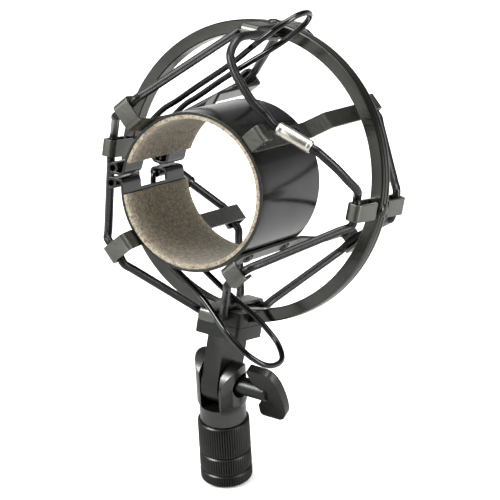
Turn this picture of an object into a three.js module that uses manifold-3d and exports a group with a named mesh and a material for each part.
// Suspension shock mount for a studio side-address microphone.
// Millimetres, +Z up the stand axis, -Y is the front (address side), +X is the wing-screw side.
// Origin: on the stand axis at the floor of the thread socket, where the end of a stand's thread
// stops. Heights below are measured from the bottom face and the whole model is lowered at the end.
//
// Three frames are used. The base frame is the stand frame. The ring frame is turned about the
// tilt pivot and has its origin at the hoop centre, with the hoop's axis along Y. The cradle frame
// sits inside the ring frame, with the microphone bore along Y. Left and right are as seen from
// the front; angles in the ring and cradle run from +X towards +Z.

import * as THREE from "three";
import { mergeVertices } from "three/addons/utils/BufferGeometryUtils.js";
import Module from "manifold-3d";

const wasm = await Module();
wasm.setup();
const { degToRad, radToDeg, clamp } = THREE.MathUtils;

// ---------------------------------------------------------------- shared dimensions
const CLEAR = 0.3;                 // running and assembly gap between separate pieces
const PIVOT_Z = 43.75;             // height of the tilt pivot
const PIN_R = 2.5;                 // pin of the wing screw, through the pivot
const PIN_HOLE_R = PIN_R + CLEAR;
const RIVET_SHANK_R = 1.2;
const RIVET_HOLE_R = RIVET_SHANK_R + CLEAR;
const CORD_R = 1.6;
const BEND_R = 1.6, BEND_STEPS = 2;  // bends of the bracket strips

// ---------------------------------------------------------------- solids
function toSolid(geometry) {
  const bare = geometry.clone();
  bare.deleteAttribute("normal");
  bare.deleteAttribute("uv");
  const merged = mergeVertices(bare, 1e-4);
  return new wasm.Manifold(new wasm.Mesh({
    numProp: 3,
    vertProperties: new Float32Array(merged.getAttribute("position").array),
    triVerts: new Uint32Array(merged.getIndex().array),
  }));
}

function toGeometry(solid) {
  const mesh = solid.getMesh();
  const geometry = new THREE.BufferGeometry();
  geometry.setAttribute("position", new THREE.Float32BufferAttribute(mesh.vertProperties, 3));
  geometry.setIndex(new THREE.Uint32BufferAttribute(mesh.triVerts, 1));
  geometry.computeVertexNormals();
  return geometry;
}

// add geometries to a solid, or cut them from it, one after another
const join = (solid, ...extras) => extras.reduce((sum, extra) => sum.add(toSolid(extra)), solid);
const cut = (solid, ...tools) => tools.reduce((rest, tool) => rest.subtract(toSolid(tool)), solid);

// ---------------------------------------------------------------- basic shapes
const box = (x0, x1, y0, y1, z0, z1) =>
  new THREE.BoxGeometry(x1 - x0, y1 - y0, z1 - z0)
    .translate((x0 + x1) / 2, (y0 + y1) / 2, (z0 + z1) / 2);

const cylinderX = (radius, x0, x1, segments) =>
  new THREE.CylinderGeometry(radius, radius, x1 - x0, segments)
    .rotateZ(-Math.PI / 2).translate((x0 + x1) / 2, 0, 0);

const cylinderY = (radius, y0, y1, segments) =>
  new THREE.CylinderGeometry(radius, radius, y1 - y0, segments).translate(0, (y0 + y1) / 2, 0);

// profiles of [radius, place along the axis] pairs turned about +Y, +Z or +X
const latheY = (profile, segments) =>
  new THREE.LatheGeometry(profile.map(([r, y]) => new THREE.Vector2(r, y)), segments);
const latheZ = (profile, segments) => latheY(profile, segments).rotateX(Math.PI / 2);
const latheX = (profile, segments) => latheY(profile, segments).rotateZ(-Math.PI / 2);

const shapeOf = (points) => new THREE.Shape(points.map(([x, y]) => new THREE.Vector2(x, y)));

// outline of [x, y] pairs, extruded along Z
const extrudeZ = (points, z0, z1) =>
  new THREE.ExtrudeGeometry(shapeOf(points), { depth: z1 - z0, bevelEnabled: false })
    .translate(0, 0, z0);

// outline of [x, z] pairs, extruded along Y
const extrudeY = (points, y0, y1) =>
  new THREE.ExtrudeGeometry(shapeOf(points), { depth: y1 - y0, bevelEnabled: false })
    .rotateX(Math.PI / 2).translate(0, y1, 0);

// polyline with every corner between its two ends rounded to the given radius
function rounded(points, radius, steps) {
  const out = [points[0]];
  for (let i = 1; i < points.length - 1; i++) {
    const [before, corner, after] = points.slice(i - 1, i + 2)
      .map(([x, y]) => new THREE.Vector2(x, y));
    const back = before.sub(corner), onward = after.sub(corner);
    const backLength = back.length(), onwardLength = onward.length();
    back.normalize();
    onward.normalize();
    const halfAngle = Math.acos(clamp(back.dot(onward), -1, 1)) / 2;
    // the bend takes less than half of either neighbouring side
    const setback = Math.min(radius / Math.tan(halfAngle), backLength * 0.48, onwardLength * 0.48);
    const bendRadius = setback * Math.tan(halfAngle);
    const centre = back.clone().add(onward).normalize()
      .multiplyScalar(bendRadius / Math.sin(halfAngle)).add(corner);
    const start = corner.clone().addScaledVector(back, setback).sub(centre);
    const end = corner.clone().addScaledVector(onward, setback).sub(centre);
    const turn = Math.atan2(start.x * end.y - start.y * end.x, start.dot(end));
    for (let k = 0; k <= steps; k++) {
      const cos = Math.cos(turn * k / steps), sin = Math.sin(turn * k / steps);
      out.push([centre.x + start.x * cos - start.y * sin,
        centre.y + start.x * sin + start.y * cos]);
    }
  }
  out.push(points[points.length - 1]);
  return out;
}

// closed outline of a sheet-metal strip along a centreline, mitred at its corners
function strip(line, thickness) {
  const directions = line.slice(1).map(([x, y], i) =>
    new THREE.Vector2(x - line[i][0], y - line[i][1]).normalize());
  const left = [], right = [];
  line.forEach(([x, y], i) => {
    const arriving = directions[Math.max(i - 1, 0)];
    const leaving = directions[Math.min(i, directions.length - 1)];
    const mean = arriving.clone().add(leaving).normalize();
    const offset = (thickness / 2) / Math.max(mean.dot(arriving), 0.3);
    left.push([x - mean.y * offset, y + mean.x * offset]);
    right.push([x + mean.y * offset, y - mean.x * offset]);
  });
  return left.concat(right.reverse());
}

// [radius * cos, radius * sin] pairs between two angles in degrees
function arc(radius, from, to, steps) {
  const points = [];
  for (let k = 0; k <= steps; k++) {
    const angle = degToRad(from + (to - from) * k / steps);
    points.push([radius * Math.cos(angle), radius * Math.sin(angle)]);
  }
  return points;
}

// C-shaped outline open towards -X; its outer and inner edges stop at their own end angles
const openRing = (outerR, innerR, outerEnd, innerEnd, steps) =>
  arc(outerR, -outerEnd, outerEnd, steps).concat(arc(innerR, innerEnd, -innerEnd, steps));

// curve through points whose parameter is spread evenly over the points, so that the short
// bends round the hooks get as many sections as the long straight spans
class PointCurve extends THREE.CatmullRomCurve3 {
  getPointAt(u, target) { return this.getPoint(u, target); }
  getTangentAt(u, target) { return this.getTangent(u, target); }
}

function tube(points, radius, stepsPerPoint) {
  const sides = 6;
  const outline = [];
  for (let k = 0; k < sides; k++) {
    const angle = 2 * Math.PI * k / sides;
    outline.push([radius * Math.cos(angle), radius * Math.sin(angle)]);
  }
  return new THREE.ExtrudeGeometry(shapeOf(outline), {
    steps: Math.round((points.length - 1) * stepsPerPoint),
    bevelEnabled: false,
    extrudePath: new PointCurve(points, false, "centripetal"),
  });
}

// ---------------------------------------------------------------- materials and meshes
const MATERIALS = {
  blackPlate: { name: "black_plate", color: 0x16171a, roughness: 0.28, metalness: 0.85 },
  greyPlate: { name: "grey_plate", color: 0x3a3d3c, roughness: 0.3, metalness: 0.85 },
  brass: { name: "brass", color: 0xb08d4a, roughness: 0.35, metalness: 1.0 },
  felt: { name: "felt", color: 0x8a8069, roughness: 0.95, metalness: 0.0 },
  elastic: { name: "elastic", color: 0x101012, roughness: 0.75, metalness: 0.0 },
  ferruleMetal: { name: "ferrule_metal", color: 0xc9cbcc, roughness: 0.25, metalness: 1.0 },
  rivetMetal: { name: "rivet_metal", color: 0x2b2d2e, roughness: 0.3, metalness: 0.9 },
};

// mesh from a geometry or a solid
function piece(name, shape, material) {
  const geometry = shape.isBufferGeometry ? shape : toGeometry(shape);
  const mesh = new THREE.Mesh(geometry, new THREE.MeshStandardMaterial(MATERIALS[material]));
  mesh.name = name;
  return mesh;
}

// Brackets and rivets are drawn pointing along +X (radius along X) and turned about Y.
function turned(mesh, degrees) {
  mesh.rotation.y = -degToRad(degrees);
  return mesh;
}

// ---------------------------------------------------------------- stand end
const KNURL_R = 10.1, KNURL_ROOT_R = 9.75, KNURL_TEETH = 36;
const ADAPTER_H = 12.6;
const GROOVE_Z0 = 4.8, GROOVE_Z1 = 5.3, GROOVE_R = 9.3;
const THREAD_R = 7.94;             // 5/8 inch stand thread, major radius
const THREAD_DEPTH = 9.0;          // to the floor of the recess that the stud end stops on
const STUD_R = 4.0, STUD_RECESS = 0.4;  // recess in the socket floor, narrower than the insert bore
const INSERT_R = THREAD_R - CLEAR, INSERT_BORE_R = 4.3;
const INSERT_Z0 = 0.4, INSERT_Z1 = 8.2, INSERT_CHAMFER = 0.5;
const INSERT_SLOT_HALF = 0.9, INSERT_SLOT_DEPTH = 1.4;

const RETAINER_R = 6.5, RETAINER_Z0 = 10.0, RETAINER_Z1 = 10.8;  // lowest disc of the stem
const RETAINER_POCKET_R = 7.0;
const SPIGOT_R = 5.0;
const JOURNAL_R = 7.5, JOURNAL_Z0 = 13.2;
const COLLAR_Z0 = 13.0, COLLAR_Z1 = 26.75, COLLAR_BORE_R = JOURNAL_R + CLEAR;
const STEM_R = 9.0, STEM_Z0 = COLLAR_Z1 + CLEAR, STEM_Z1 = 33.5;
const HEAD_R = 9.7, HEAD_Z0 = 35.5, HEAD_Z1 = 58;
const SLOT_HALF = 4.2, SLOT_DROP = 9.3;
const LEFT_EAR_R = 11.0, RIGHT_EAR_R = 8.4;  // crown radii of the two ears about the pivot
const COUNTERBORE_R = 5.0, COUNTERBORE_X = 5.7;  // in the outside of the right ear

function knurl(z0, z1) {
  const outline = [];
  for (let k = 0; k < KNURL_TEETH; k++) {
    const tip = 2 * Math.PI * k / KNURL_TEETH, root = tip + Math.PI / KNURL_TEETH;
    outline.push([KNURL_R * Math.cos(tip), KNURL_R * Math.sin(tip)]);
    outline.push([KNURL_ROOT_R * Math.cos(root), KNURL_ROOT_R * Math.sin(root)]);
  }
  return extrudeZ(outline, z0, z1);
}

// knurled body with a thread socket below and a pocket for the stem's retaining disc above
function threadAdapter() {
  const overlap = 0.5;
  const grooveCore = latheZ([[0, GROOVE_Z0 - overlap], [GROOVE_R, GROOVE_Z0 - overlap],
    [GROOVE_R, GROOVE_Z1 + overlap], [0, GROOVE_Z1 + overlap]], 48);
  const socketFloor = THREAD_DEPTH - STUD_RECESS;
  const socket = latheZ([[0, -1], [THREAD_R, -1], [THREAD_R, socketFloor],
    [STUD_R, socketFloor], [STUD_R, THREAD_DEPTH], [0, THREAD_DEPTH]], 32);
  const pocketZ0 = RETAINER_Z0 - CLEAR, pocketZ1 = RETAINER_Z1 + CLEAR;
  const spigotHoleR = SPIGOT_R + CLEAR;
  const pocket = latheZ([[0, pocketZ0], [RETAINER_POCKET_R, pocketZ0],
    [RETAINER_POCKET_R, pocketZ1], [spigotHoleR, pocketZ1], [spigotHoleR, 14], [0, 14]], 32);
  const body = join(toSolid(knurl(0, GROOVE_Z0)), grooveCore, knurl(GROOVE_Z1, ADAPTER_H));
  return piece("thread_adapter", cut(body, socket, pocket), "blackPlate");
}

// sleeve in the thread socket with a slot across its lower end
function threadInsert() {
  const body = toSolid(latheZ([[INSERT_BORE_R, INSERT_Z0], [INSERT_R - INSERT_CHAMFER, INSERT_Z0],
    [INSERT_R, INSERT_Z0 + INSERT_CHAMFER], [INSERT_R, INSERT_Z1], [INSERT_BORE_R, INSERT_Z1],
    [INSERT_BORE_R, INSERT_Z0]], 28));
  const slot = box(-9, 9, -INSERT_SLOT_HALF, INSERT_SLOT_HALF, -1, INSERT_Z0 + INSERT_SLOT_DEPTH);
  return piece("thread_insert", cut(body, slot), "brass");
}

function swivelCollar() {
  const bore = latheZ([[0, 10], [COLLAR_BORE_R, 10], [COLLAR_BORE_R, 30], [0, 30]], 40);
  return piece("swivel_collar", cut(toSolid(knurl(COLLAR_Z0, COLLAR_Z1)), bore), "blackPlate");
}

// stem: retaining disc, spigot, journal inside the collar, then the slotted clevis head
function stemClevis() {
  const atPivot = (geometry) => geometry.translate(0, 0, PIVOT_Z);
  const turnedStem = toSolid(latheZ([[0, RETAINER_Z0], [RETAINER_R, RETAINER_Z0],
    [RETAINER_R, RETAINER_Z1], [SPIGOT_R, RETAINER_Z1], [SPIGOT_R, JOURNAL_Z0],
    [JOURNAL_R, JOURNAL_Z0], [JOURNAL_R, STEM_Z0], [STEM_R, STEM_Z0], [STEM_R, STEM_Z1],
    [HEAD_R, HEAD_Z0], [HEAD_R, HEAD_Z1], [0, HEAD_Z1]], 32));
  const earMask = join(toSolid(box(-20, 20, -20, 20, 0, PIVOT_Z)),
    atPivot(cylinderX(LEFT_EAR_R, -20, 0, 36)),
    atPivot(cylinderX(RIGHT_EAR_R, 0, 20, 36)));
  const body = cut(turnedStem.intersect(earMask),
    box(-SLOT_HALF, SLOT_HALF, -20, 20, PIVOT_Z - SLOT_DROP, 70),
    atPivot(cylinderX(PIN_HOLE_R, -20, 20, 16)),
    atPivot(cylinderX(COUNTERBORE_R, COUNTERBORE_X, 20, 20)));
  return piece("stem_clevis", body, "blackPlate");
}

// ---------------------------------------------------------------- wing screw
const WING_T = 3.4;
const WING_TURN = degToRad(-70);   // about the X axis
const PIN_X0 = -9.2, PIN_X1 = 7.0;
const SHAFT_R = 3.5, SHAFT_X0 = 6.0, SHAFT_X1 = 21.0;
// [x, y] of one half of the wing, from its outer end on the axis round to the shaft
const WING_HALF = [
  [28.5, 0], [28.3, 3.5], [27.9, 7.5], [27.0, 10.2], [25.8, 12.2], [24.0, 13.4],
  [16.4, 13.5], [15.5, 12.6], [15.4, 11.4], [15.9, 7.2], [17.6, 4.6], [19.0, 3.0],
];

// pin, shaft and flat wing along the X axis
function wingScrew() {
  const mirrored = WING_HALF.slice(1).reverse().map(([x, y]) => [x, -y]);
  const body = join(toSolid(extrudeZ(WING_HALF.concat(mirrored), -WING_T / 2, WING_T / 2)),
    cylinderX(PIN_R, PIN_X0, PIN_X1, 16),
    cylinderX(SHAFT_R, SHAFT_X0, SHAFT_X1, 20));
  const wing = piece("wing_screw", body, "blackPlate");
  wing.position.set(0, 0, PIVOT_Z);
  wing.rotation.x = WING_TURN;
  return wing;
}

// ---------------------------------------------------------------- ring
const TILT = -0.3646;              // rest tilt: the hoop's top leans back
const RING_DROP = 82.2;            // pivot to hoop centre
const RING_RO = 57.5, RING_RI = 52.47, RING_W = 6.07, RING_CHAMFER = 0.5;
const HALF_W = RING_W / 2;
const OUT_W = 6.6, OUT_T = 1.2;    // outer bracket strip
const OUT_FACE = RING_RI - CLEAR - 0.12;  // radius of the strip's face next to the hoop
const OUT_Y = 18.0, OUT_RISE = 5.0;  // centrelines: the hook plates' Y, the return legs' offset
// angle of each outer bracket, and the distance from mid-plane where its return legs end
const OUTER = {
  top: { angle: 90, legEnd: 4.4 },
  right: { angle: -2.5, legEnd: 4.4 },
  bottom: { angle: -90, legEnd: 10.2 },
  left: { angle: 181.5, legEnd: 4.4 },
};

function ringHoop() {
  const body = toSolid(latheY([[RING_RI, -HALF_W], [RING_RO - RING_CHAMFER, -HALF_W],
    [RING_RO, -HALF_W + RING_CHAMFER], [RING_RO, HALF_W - RING_CHAMFER],
    [RING_RO - RING_CHAMFER, HALF_W], [RING_RI, HALF_W], [RING_RI, -HALF_W]], 72));
  const holes = Object.values(OUTER).map(({ angle }) =>
    cylinderX(RIVET_HOLE_R, 45, 65, 8).rotateY(-degToRad(angle)));
  return piece("ring_hoop", cut(body, ...holes), "greyPlate");
}

// double-ended hook strip on the inside of the hoop
function outerBracket(key) {
  const { angle, legEnd } = OUTER[key];
  const seat = OUT_FACE - OUT_T / 2, leg = seat + OUT_RISE;
  const line = rounded([[leg, -legEnd], [leg, -OUT_Y], [seat, -OUT_Y], [seat, OUT_Y],
    [leg, OUT_Y], [leg, legEnd]], BEND_R, BEND_STEPS);
  const body = cut(toSolid(extrudeZ(strip(line, OUT_T), -OUT_W / 2, OUT_W / 2)),
    cylinderX(RIVET_HOLE_R, 45, 54, 8));
  return turned(piece("outer_bracket_" + key, body, "greyPlate"), angle);
}

const FASTENER_SEAT = OUT_FACE - OUT_T - CLEAR;  // radius where inner heads face the strip
const TAIL_R = 1.9, TAIL_H = 0.7;  // inner head of a ring rivet

// rivet through strip and hoop, domed head on the hoop's outside
function ringRivet(key) {
  const headSeat = RING_RO + CLEAR;
  const geometry = latheX([[0, FASTENER_SEAT - TAIL_H], [TAIL_R, FASTENER_SEAT - TAIL_H],
    [TAIL_R, FASTENER_SEAT], [RIVET_SHANK_R, FASTENER_SEAT], [RIVET_SHANK_R, headSeat],
    [2.5, headSeat], [2.2, headSeat + 0.6], [1.2, headSeat + 0.95], [0, headSeat + 0.95]], 10);
  return turned(piece("ring_rivet_" + key, geometry, "rivetMetal"), OUTER[key].angle);
}

// ---------------------------------------------------------------- saddle
const LUG_X = 9.8, LUG_Y = 9.25, LUG_TOP = -52.9, LUG_BOTTOM = -64.0, LUG_CORNER_R = 1.6;
const TONGUE_X = 3.7, TONGUE_R = 8.8;
const SCREW_HOLE_Z = -56, SCREW_HOLE_L = 12;
const SCREW_HEAD_H = 1.1, SCREW_HEAD_TOP_R = 1.9, SCREW_HEAD_R = 2.5, SCREW_HEAD_RIM = 0.4;
const SCREW_END = 61.2;            // distance of the screw's tip from the hoop centre

// saddle lug: block notched round the hoop, tongue down to the tilt pivot
function saddleLug() {
  // the outline starts mid-side so that all four corners are rounded
  const plan = rounded([[0, -LUG_Y], [LUG_X, -LUG_Y], [LUG_X, LUG_Y], [-LUG_X, LUG_Y],
    [-LUG_X, -LUG_Y], [0, -LUG_Y]], LUG_CORNER_R, 3).slice(0, -1);
  const block = join(toSolid(extrudeZ(plan, LUG_BOTTOM, LUG_TOP)),
    box(-TONGUE_X, TONGUE_X, -TONGUE_R, TONGUE_R, -RING_DROP, LUG_BOTTOM + 1),
    cylinderX(TONGUE_R, -TONGUE_X, TONGUE_X, 40).translate(0, 0, -RING_DROP));
  const pinHole = cylinderX(PIN_HOLE_R, -10, 10, 24).translate(0, 0, -RING_DROP);
  const notchR = RING_RO + CLEAR, notchHalf = HALF_W + CLEAR;
  const notch = latheY([[45, -notchHalf], [notchR, -notchHalf], [notchR, notchHalf],
    [45, notchHalf], [45, -notchHalf]], 72);
  const screwHole = new THREE.CylinderGeometry(RIVET_HOLE_R, RIVET_HOLE_R, SCREW_HOLE_L, 14)
    .rotateX(Math.PI / 2).translate(0, 0, SCREW_HOLE_Z);
  return piece("saddle_lug", cut(block, pinHole, notch, screwHole), "blackPlate");
}

// screw from inside the hoop into the saddle
function saddleScrew() {
  const top = FASTENER_SEAT - SCREW_HEAD_H;
  const geometry = latheX([[0, top], [SCREW_HEAD_TOP_R, top],
    [SCREW_HEAD_R, FASTENER_SEAT - SCREW_HEAD_RIM], [SCREW_HEAD_R, FASTENER_SEAT],
    [RIVET_SHANK_R, FASTENER_SEAT], [RIVET_SHANK_R, SCREW_END], [0, SCREW_END]], 10);
  return turned(piece("saddle_screw", geometry, "rivetMetal"), OUTER.bottom.angle);
}

// ---------------------------------------------------------------- cradle sleeve and lining
const CRADLE_POSITION = [0.432, -22.95, -3.0455];
const CRADLE_ROTATION = [0.0387, -0.028, 0.0512];
const SLEEVE_RO = 29.6, SLEEVE_T = 1.0, SLEEVE_RI = SLEEVE_RO - SLEEVE_T, SLEEVE_HALF = 23.0;
const SLIT_HALF = 0.65;
const KNUCKLE_R = 2.2, KNUCKLE_BORE_R = 1.42;
const KNUCKLE_X = -33.6, KNUCKLE_Z = SLIT_HALF + KNUCKLE_R;
const NOTCH_HALF = 9.6, NOTCH_Z = 5.1;
const LINER_RO = 28.25, LINER_RI = 26.8, LINER_INSET = 0.2, LINER_GAP_DEG = 12.5;
const RIVET_Y = 14.4;              // rivets sit this far in front of and behind the middle

// The four double-ended strips. frontY and rearY place the end plates; frontReach and rearReach
// are the radii the plates run out to; rise is how far the rear arm stands off the sleeve.
const INNER = {
  upper_left: { angle: 135, frontY: -30.6, frontReach: 41.2, rearY: 68.5, rearReach: 42.4, rise: 4.9 },
  lower_left: { angle: 225, frontY: -28.0, frontReach: 41.2, rearY: 68.5, rearReach: 42.4, rise: 4.9 },
  lower_right: { angle: 315, frontY: -31.0, frontReach: 38.8, rearY: 66.0, rearReach: 40.2, rise: 2.4 },
  upper_right: { angle: 45, frontY: -25.4, frontReach: 38.4, rearY: 66.0, rearReach: 42.0, rise: 4.9 },
};

// spring sleeve: open cylinder with two webs and rolled knuckles at the slit, on the -X side
function sleeveSpring() {
  const slitEnd = (radius) => 180 - radToDeg(Math.asin(SLIT_HALF / radius));
  const outline = openRing(SLEEVE_RO, SLEEVE_RI, slitEnd(SLEEVE_RO), slitEnd(SLEEVE_RI), 40);
  const knuckle = (radius, halfLength, side) =>
    cylinderY(radius, -halfLength, halfLength, 20).translate(KNUCKLE_X, 0, side * KNUCKLE_Z);
  let body = toSolid(extrudeY(outline, -SLEEVE_HALF, SLEEVE_HALF));
  for (const side of [1, -1]) {
    const faces = [side * SLIT_HALF, side * (SLIT_HALF + SLEEVE_T)];
    body = join(body,
      box(KNUCKLE_X, -SLEEVE_RO + SLEEVE_T / 2, -SLEEVE_HALF, SLEEVE_HALF,
        Math.min(...faces), Math.max(...faces)),
      knuckle(KNUCKLE_R, SLEEVE_HALF, side));
  }
  body = cut(body,
    knuckle(KNUCKLE_BORE_R, SLEEVE_HALF + 1, 1),
    knuckle(KNUCKLE_BORE_R, SLEEVE_HALF + 1, -1),
    box(-45, -20, -NOTCH_HALF, NOTCH_HALF, -NOTCH_Z, NOTCH_Z));
  for (const { angle } of Object.values(INNER)) {
    for (const end of [1, -1]) {
      body = cut(body, cylinderX(RIVET_HOLE_R, 20, 40, 8).translate(0, end * RIVET_Y, 0)
        .rotateY(-degToRad(angle)));
    }
  }
  return piece("sleeve_spring", body, "greyPlate");
}

// felt lining, stopping short of the slit
function feltLiner() {
  const endAngle = 180 - LINER_GAP_DEG, half = SLEEVE_HALF - LINER_INSET;
  const outline = openRing(LINER_RO, LINER_RI, endAngle, endAngle, 36);
  return piece("felt_liner", extrudeY(outline, -half, half), "felt");
}

// ---------------------------------------------------------------- inner brackets
const IN_W = 6.8, IN_T = 1.2, IN_FACE = SLEEVE_RO + CLEAR;
const BRACKET_RIVET_R0 = 28.72;    // radius where the shank starts

function innerBracket(key) {
  const { angle, frontY, frontReach, rearY, rearReach, rise } = INNER[key];
  const seat = IN_FACE + IN_T / 2;
  // [radius, y] from the front lip, along the sleeve, to the rear lip
  const line = rounded([
    [frontReach - 0.5, frontY + 5.6], [frontReach, frontY], [seat + 1.0, frontY],
    [seat, Math.max(frontY + 4.6, -23.2)], [seat, 23.6],
    [seat + rise - 0.5, 34.0], [seat + rise, rearY],
    [rearReach, rearY], [rearReach - 0.4, rearY - 5.2],
  ], BEND_R, BEND_STEPS);
  const body = cut(toSolid(extrudeZ(strip(line, IN_T), -IN_W / 2, IN_W / 2)),
    ...[1, -1].map((end) => cylinderX(RIVET_HOLE_R, 25, 33, 8).translate(0, end * RIVET_Y, 0)));
  return turned(piece("inner_bracket_" + key, body, "greyPlate"), angle);
}

function bracketRivet(key, endName, end) {
  const seat = IN_FACE + IN_T + CLEAR;
  const geometry = latheX([[0, BRACKET_RIVET_R0], [RIVET_SHANK_R, BRACKET_RIVET_R0],
    [RIVET_SHANK_R, seat], [2.3, seat], [2.0, seat + 0.6], [1.1, seat + 0.9],
    [0, seat + 0.9]], 10).translate(0, end * RIVET_Y, 0);
  const name = "bracket_rivet_" + key + "_" + endName;
  return turned(piece(name, geometry, "rivetMetal"), INNER[key].angle);
}

// ---------------------------------------------------------------- wire handles
const WIRE_R = 1.1;
// [x, z, half spread along Y] of the upper side: foot in the knuckle, then the leg's first part
const HANDLE_START = [
  [KNUCKLE_X, KNUCKLE_Z, 21], [KNUCKLE_X, KNUCKLE_Z, 15], [KNUCKLE_X, KNUCKLE_Z, 10.6],
  [KNUCKLE_X + 0.02, KNUCKLE_Z + 0.5, 8.75],
  [-33.4, 4.6, 8.3], [-32.8, 9.0, 8.3], [-29.0, 17.5, 8.3], [-22.9, 25.2, 8.3],
];
// the same columns, on to the flared loop at the free end
const UPPER_HANDLE = [
  [-17.8, 29.2, 8.3], [-8.8, 36.8, 8.3], [0.2, 44.0, 8.7], [7.2, 49.6, 10.5],
  [12.6, 54.3, 12.6], [17.0, 58.3, 13.0], [21.6, 62.8, 12.0], [25.2, 66.6, 8.0],
  [26.7, 68.4, 3.5],
];
const LOWER_HANDLE = [
  [-17.0, 29.8, 8.3], [-7.5, 36.0, 8.3], [1.5, 41.7, 8.7], [8.0, 46.2, 10.5],
  [14.0, 50.5, 12.6], [19.0, 54.2, 13.0], [24.5, 58.3, 12.0], [29.0, 61.7, 8.0],
  [30.6, 62.9, 3.5],
];

// zSide is +1 above the slit and -1 below it
function handle(name, zSide, stations) {
  const half = (ySide) => [...HANDLE_START, ...stations].map(([x, z, spread]) =>
    new THREE.Vector3(x, ySide * spread, zSide * z));
  return piece(name, tube([...half(-1), ...half(1).reverse()], WIRE_R, 1.25), "blackPlate");
}

// ---------------------------------------------------------------- elastic cords
// A cord runs across each hook, inside its return leg, and straight from hook to hook.
// side is -1 for the front hooks and +1 for the rear ones. Seen from the front, the front cord
// runs clockwise and the rear cord counter-clockwise, so side also gives the running direction.
const OUT_CORD_RADIUS = OUT_FACE + (OUT_RISE - OUT_T) / 2;
const OUT_CORD_Y = OUT_Y - OUT_T / 2 - CORD_R - CLEAR;
const IN_CORD_INSET = IN_T / 2 + CORD_R + 0.55;  // inwards from the plate's reach
const IN_CORD_OFFSET = IN_T / 2 + CORD_R + 0.35;  // along Y from the plate's centreline
const HOOK_HALF = 2.2, HOOK_MARGIN = 0.5;
const CORD_STEPS = 1.1;            // tube sections per point

// four points across a hook; the end points lie edgeShift further out than the middle two
function acrossHook({ angle, radius, edgeShift, width, y, side }) {
  const cos = Math.cos(degToRad(angle)), sin = Math.sin(degToRad(angle));
  const at = (r, across) => new THREE.Vector3(r * cos - across * sin, y, r * sin + across * cos);
  const edge = width / 2 + CORD_R + HOOK_MARGIN;
  return [at(radius + edgeShift, -side * edge), at(radius, -side * HOOK_HALF),
    at(radius, side * HOOK_HALF), at(radius + edgeShift, side * edge)];
}

const acrossOuter = (key, side) => acrossHook({
  angle: OUTER[key].angle, radius: OUT_CORD_RADIUS, edgeShift: -0.4, width: OUT_W,
  y: side * OUT_CORD_Y, side,
});

// worked out in the cradle frame and carried into the ring frame
function acrossInner(key, side, cradleMatrix) {
  const { angle, frontY, frontReach, rearY, rearReach } = INNER[key];
  const radius = (side < 0 ? frontReach : rearReach) - IN_CORD_INSET;
  const y = (side < 0 ? frontY : rearY) - side * IN_CORD_OFFSET;
  return acrossHook({ angle, radius, edgeShift: 0.3, width: IN_W, y, side })
    .map((point) => point.applyMatrix4(cradleMatrix));
}

const acrossHooks = (keys, side, cradleMatrix) => keys.map((key) =>
  (key in OUTER ? acrossOuter(key, side) : acrossInner(key, side, cradleMatrix)));

// long spans get points close to their ends, which keeps them straight
function chain(groups) {
  const points = [];
  groups.forEach((group, i) => {
    if (i > 0) {
      const from = points[points.length - 1], to = group[0];
      const fractions = from.distanceTo(to) > 12 ? [0.12, 0.5, 0.88] : [];
      points.push(...fractions.map((t) => from.clone().lerp(to, t)));
    }
    points.push(...group);
  });
  return points;
}

const vectors = (rows) => rows.map((row) => new THREE.Vector3(...row));
const pointsAlong = (centre, axis, distances) =>
  distances.map((distance) => centre.clone().addScaledVector(axis, distance));

// crimp ferrule: short tube over the joined cord ends
const FERRULE_R = 2.5, FERRULE_HALF = 7.2;
function ferrule(name, centre, axis) {
  const bore = CORD_R + CLEAR;
  const geometry = latheY([[bore, -FERRULE_HALF], [FERRULE_R, -FERRULE_HALF],
    [FERRULE_R, FERRULE_HALF], [bore, FERRULE_HALF], [bore, -FERRULE_HALF]], 12);
  const mesh = piece(name, geometry, "ferruleMetal");
  mesh.position.copy(centre);
  mesh.quaternion.setFromUnitVectors(new THREE.Vector3(0, 1, 0), axis);
  return mesh;
}

// [x, y, z] stations of the front cord's free bight, which carries the crimp ferrule
const TOP_TO_FERRULE = [
  [7.4, -20.0, 54.6], [7.2, -28.0, 54.2], [6.6, -35.4, 51.8], [7.2, -40.2, 47.0],
  [10.4, -42.3, 42.4], [15.5, -43.2, 37.6], [20.8, -43.3, 33.0], [25.6, -42.7, 29.6],
];
const FERRULE_ENDS = [[31.0, -41.6, 26.0], [44.2, -38.4, 21.3]];
const FERRULE_TO_RIGHT = [
  [48.6, -35.6, 18.4], [52.4, -31.6, 14.6], [54.9, -27.0, 10.6], [56.3, -21.6, 6.9],
];
const FRONT_HOOKS = ["right", "lower_right", "bottom", "lower_left", "left", "upper_left", "top"];

// front cord and its ferrule
function frontCord(cradleMatrix) {
  const [start, end] = vectors(FERRULE_ENDS);
  const centre = start.clone().lerp(end, 0.5);
  const axis = end.clone().sub(start).normalize();
  const points = [
    ...pointsAlong(centre, axis, [0.4, 3.5, 7.2, 9.4]),
    ...vectors(FERRULE_TO_RIGHT),
    ...chain(acrossHooks(FRONT_HOOKS, -1, cradleMatrix)),
    ...vectors(TOP_TO_FERRULE),
    ...pointsAlong(centre, axis, [-9.4, -7.2, -3.5, -0.4]),
  ];
  return {
    cord: piece("front_cord", tube(points, CORD_R, CORD_STEPS), "elastic"),
    crimp: ferrule("front_ferrule", centre, axis),
  };
}

const REAR_HOOKS = ["lower_left", "bottom", "lower_right", "right", "upper_right", "top",
  "upper_left", "left"];
const REAR_FERRULE_OFFSET = 13.0;  // ferrule centre from the left hook's last cord point

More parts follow.
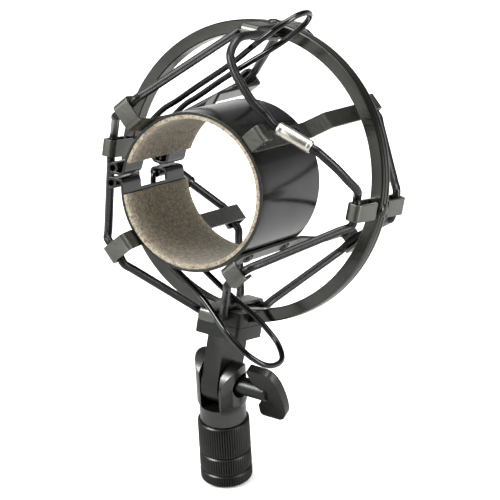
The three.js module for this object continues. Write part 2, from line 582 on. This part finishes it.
// rear cord: zigzag over all eight rear hooks, crimped on its left-hand span
function rearCord(cradleMatrix) {
  const hooks = acrossHooks(REAR_HOOKS, 1, cradleMatrix);
  const start = hooks[7][3], end = hooks[0][0];
  const axis = end.clone().sub(start).normalize();
  const centre = start.clone().addScaledVector(axis, REAR_FERRULE_OFFSET);
  const points = [
    ...pointsAlong(centre, axis, [0.4, 4, 8, 12, start.distanceTo(end) - 17]),
    ...chain(hooks),
    ...pointsAlong(centre, axis, [-9, -5, -0.4]),
  ];
  return {
    cord: piece("rear_cord", tube(points, CORD_R, CORD_STEPS), "elastic"),
    crimp: ferrule("rear_ferrule", centre, axis),
  };
}

// ---------------------------------------------------------------- assembly
function buildCradle() {
  const cradle = new THREE.Group();
  cradle.position.set(...CRADLE_POSITION);
  cradle.rotation.set(...CRADLE_ROTATION, "ZXY");
  cradle.updateMatrix();
  const keys = Object.keys(INNER);
  cradle.add(sleeveSpring(), feltLiner(), ...keys.map(innerBracket));
  for (const key of keys) {
    cradle.add(bracketRivet(key, "front", -1), bracketRivet(key, "rear", 1));
  }
  cradle.add(handle("handle_upper", 1, UPPER_HANDLE), handle("handle_lower", -1, LOWER_HANDLE));
  return cradle;
}

function buildRing() {
  const ring = new THREE.Group();
  ring.position.set(0, 0, RING_DROP);
  const cradle = buildCradle();
  const front = frontCord(cradle.matrix), rear = rearCord(cradle.matrix);
  ring.add(ringHoop(), ...Object.keys(OUTER).map(outerBracket));
  ring.add(...["top", "right", "left"].map(ringRivet));
  ring.add(saddleLug(), saddleScrew(), cradle);
  ring.add(front.cord, rear.cord, front.crimp, rear.crimp);
  return ring;
}

const tiltGroup = new THREE.Group();
tiltGroup.position.set(0, 0, PIVOT_Z);
tiltGroup.rotation.x = TILT;
tiltGroup.add(buildRing());

// lowered so that the thread socket's floor is at zero
const part = new THREE.Group();
part.position.z = -THREAD_DEPTH;
part.add(threadAdapter(), threadInsert(), swivelCollar(), stemClevis(), wingScrew(), tiltGroup);

const model = new THREE.Group();
model.add(part);

export default model;
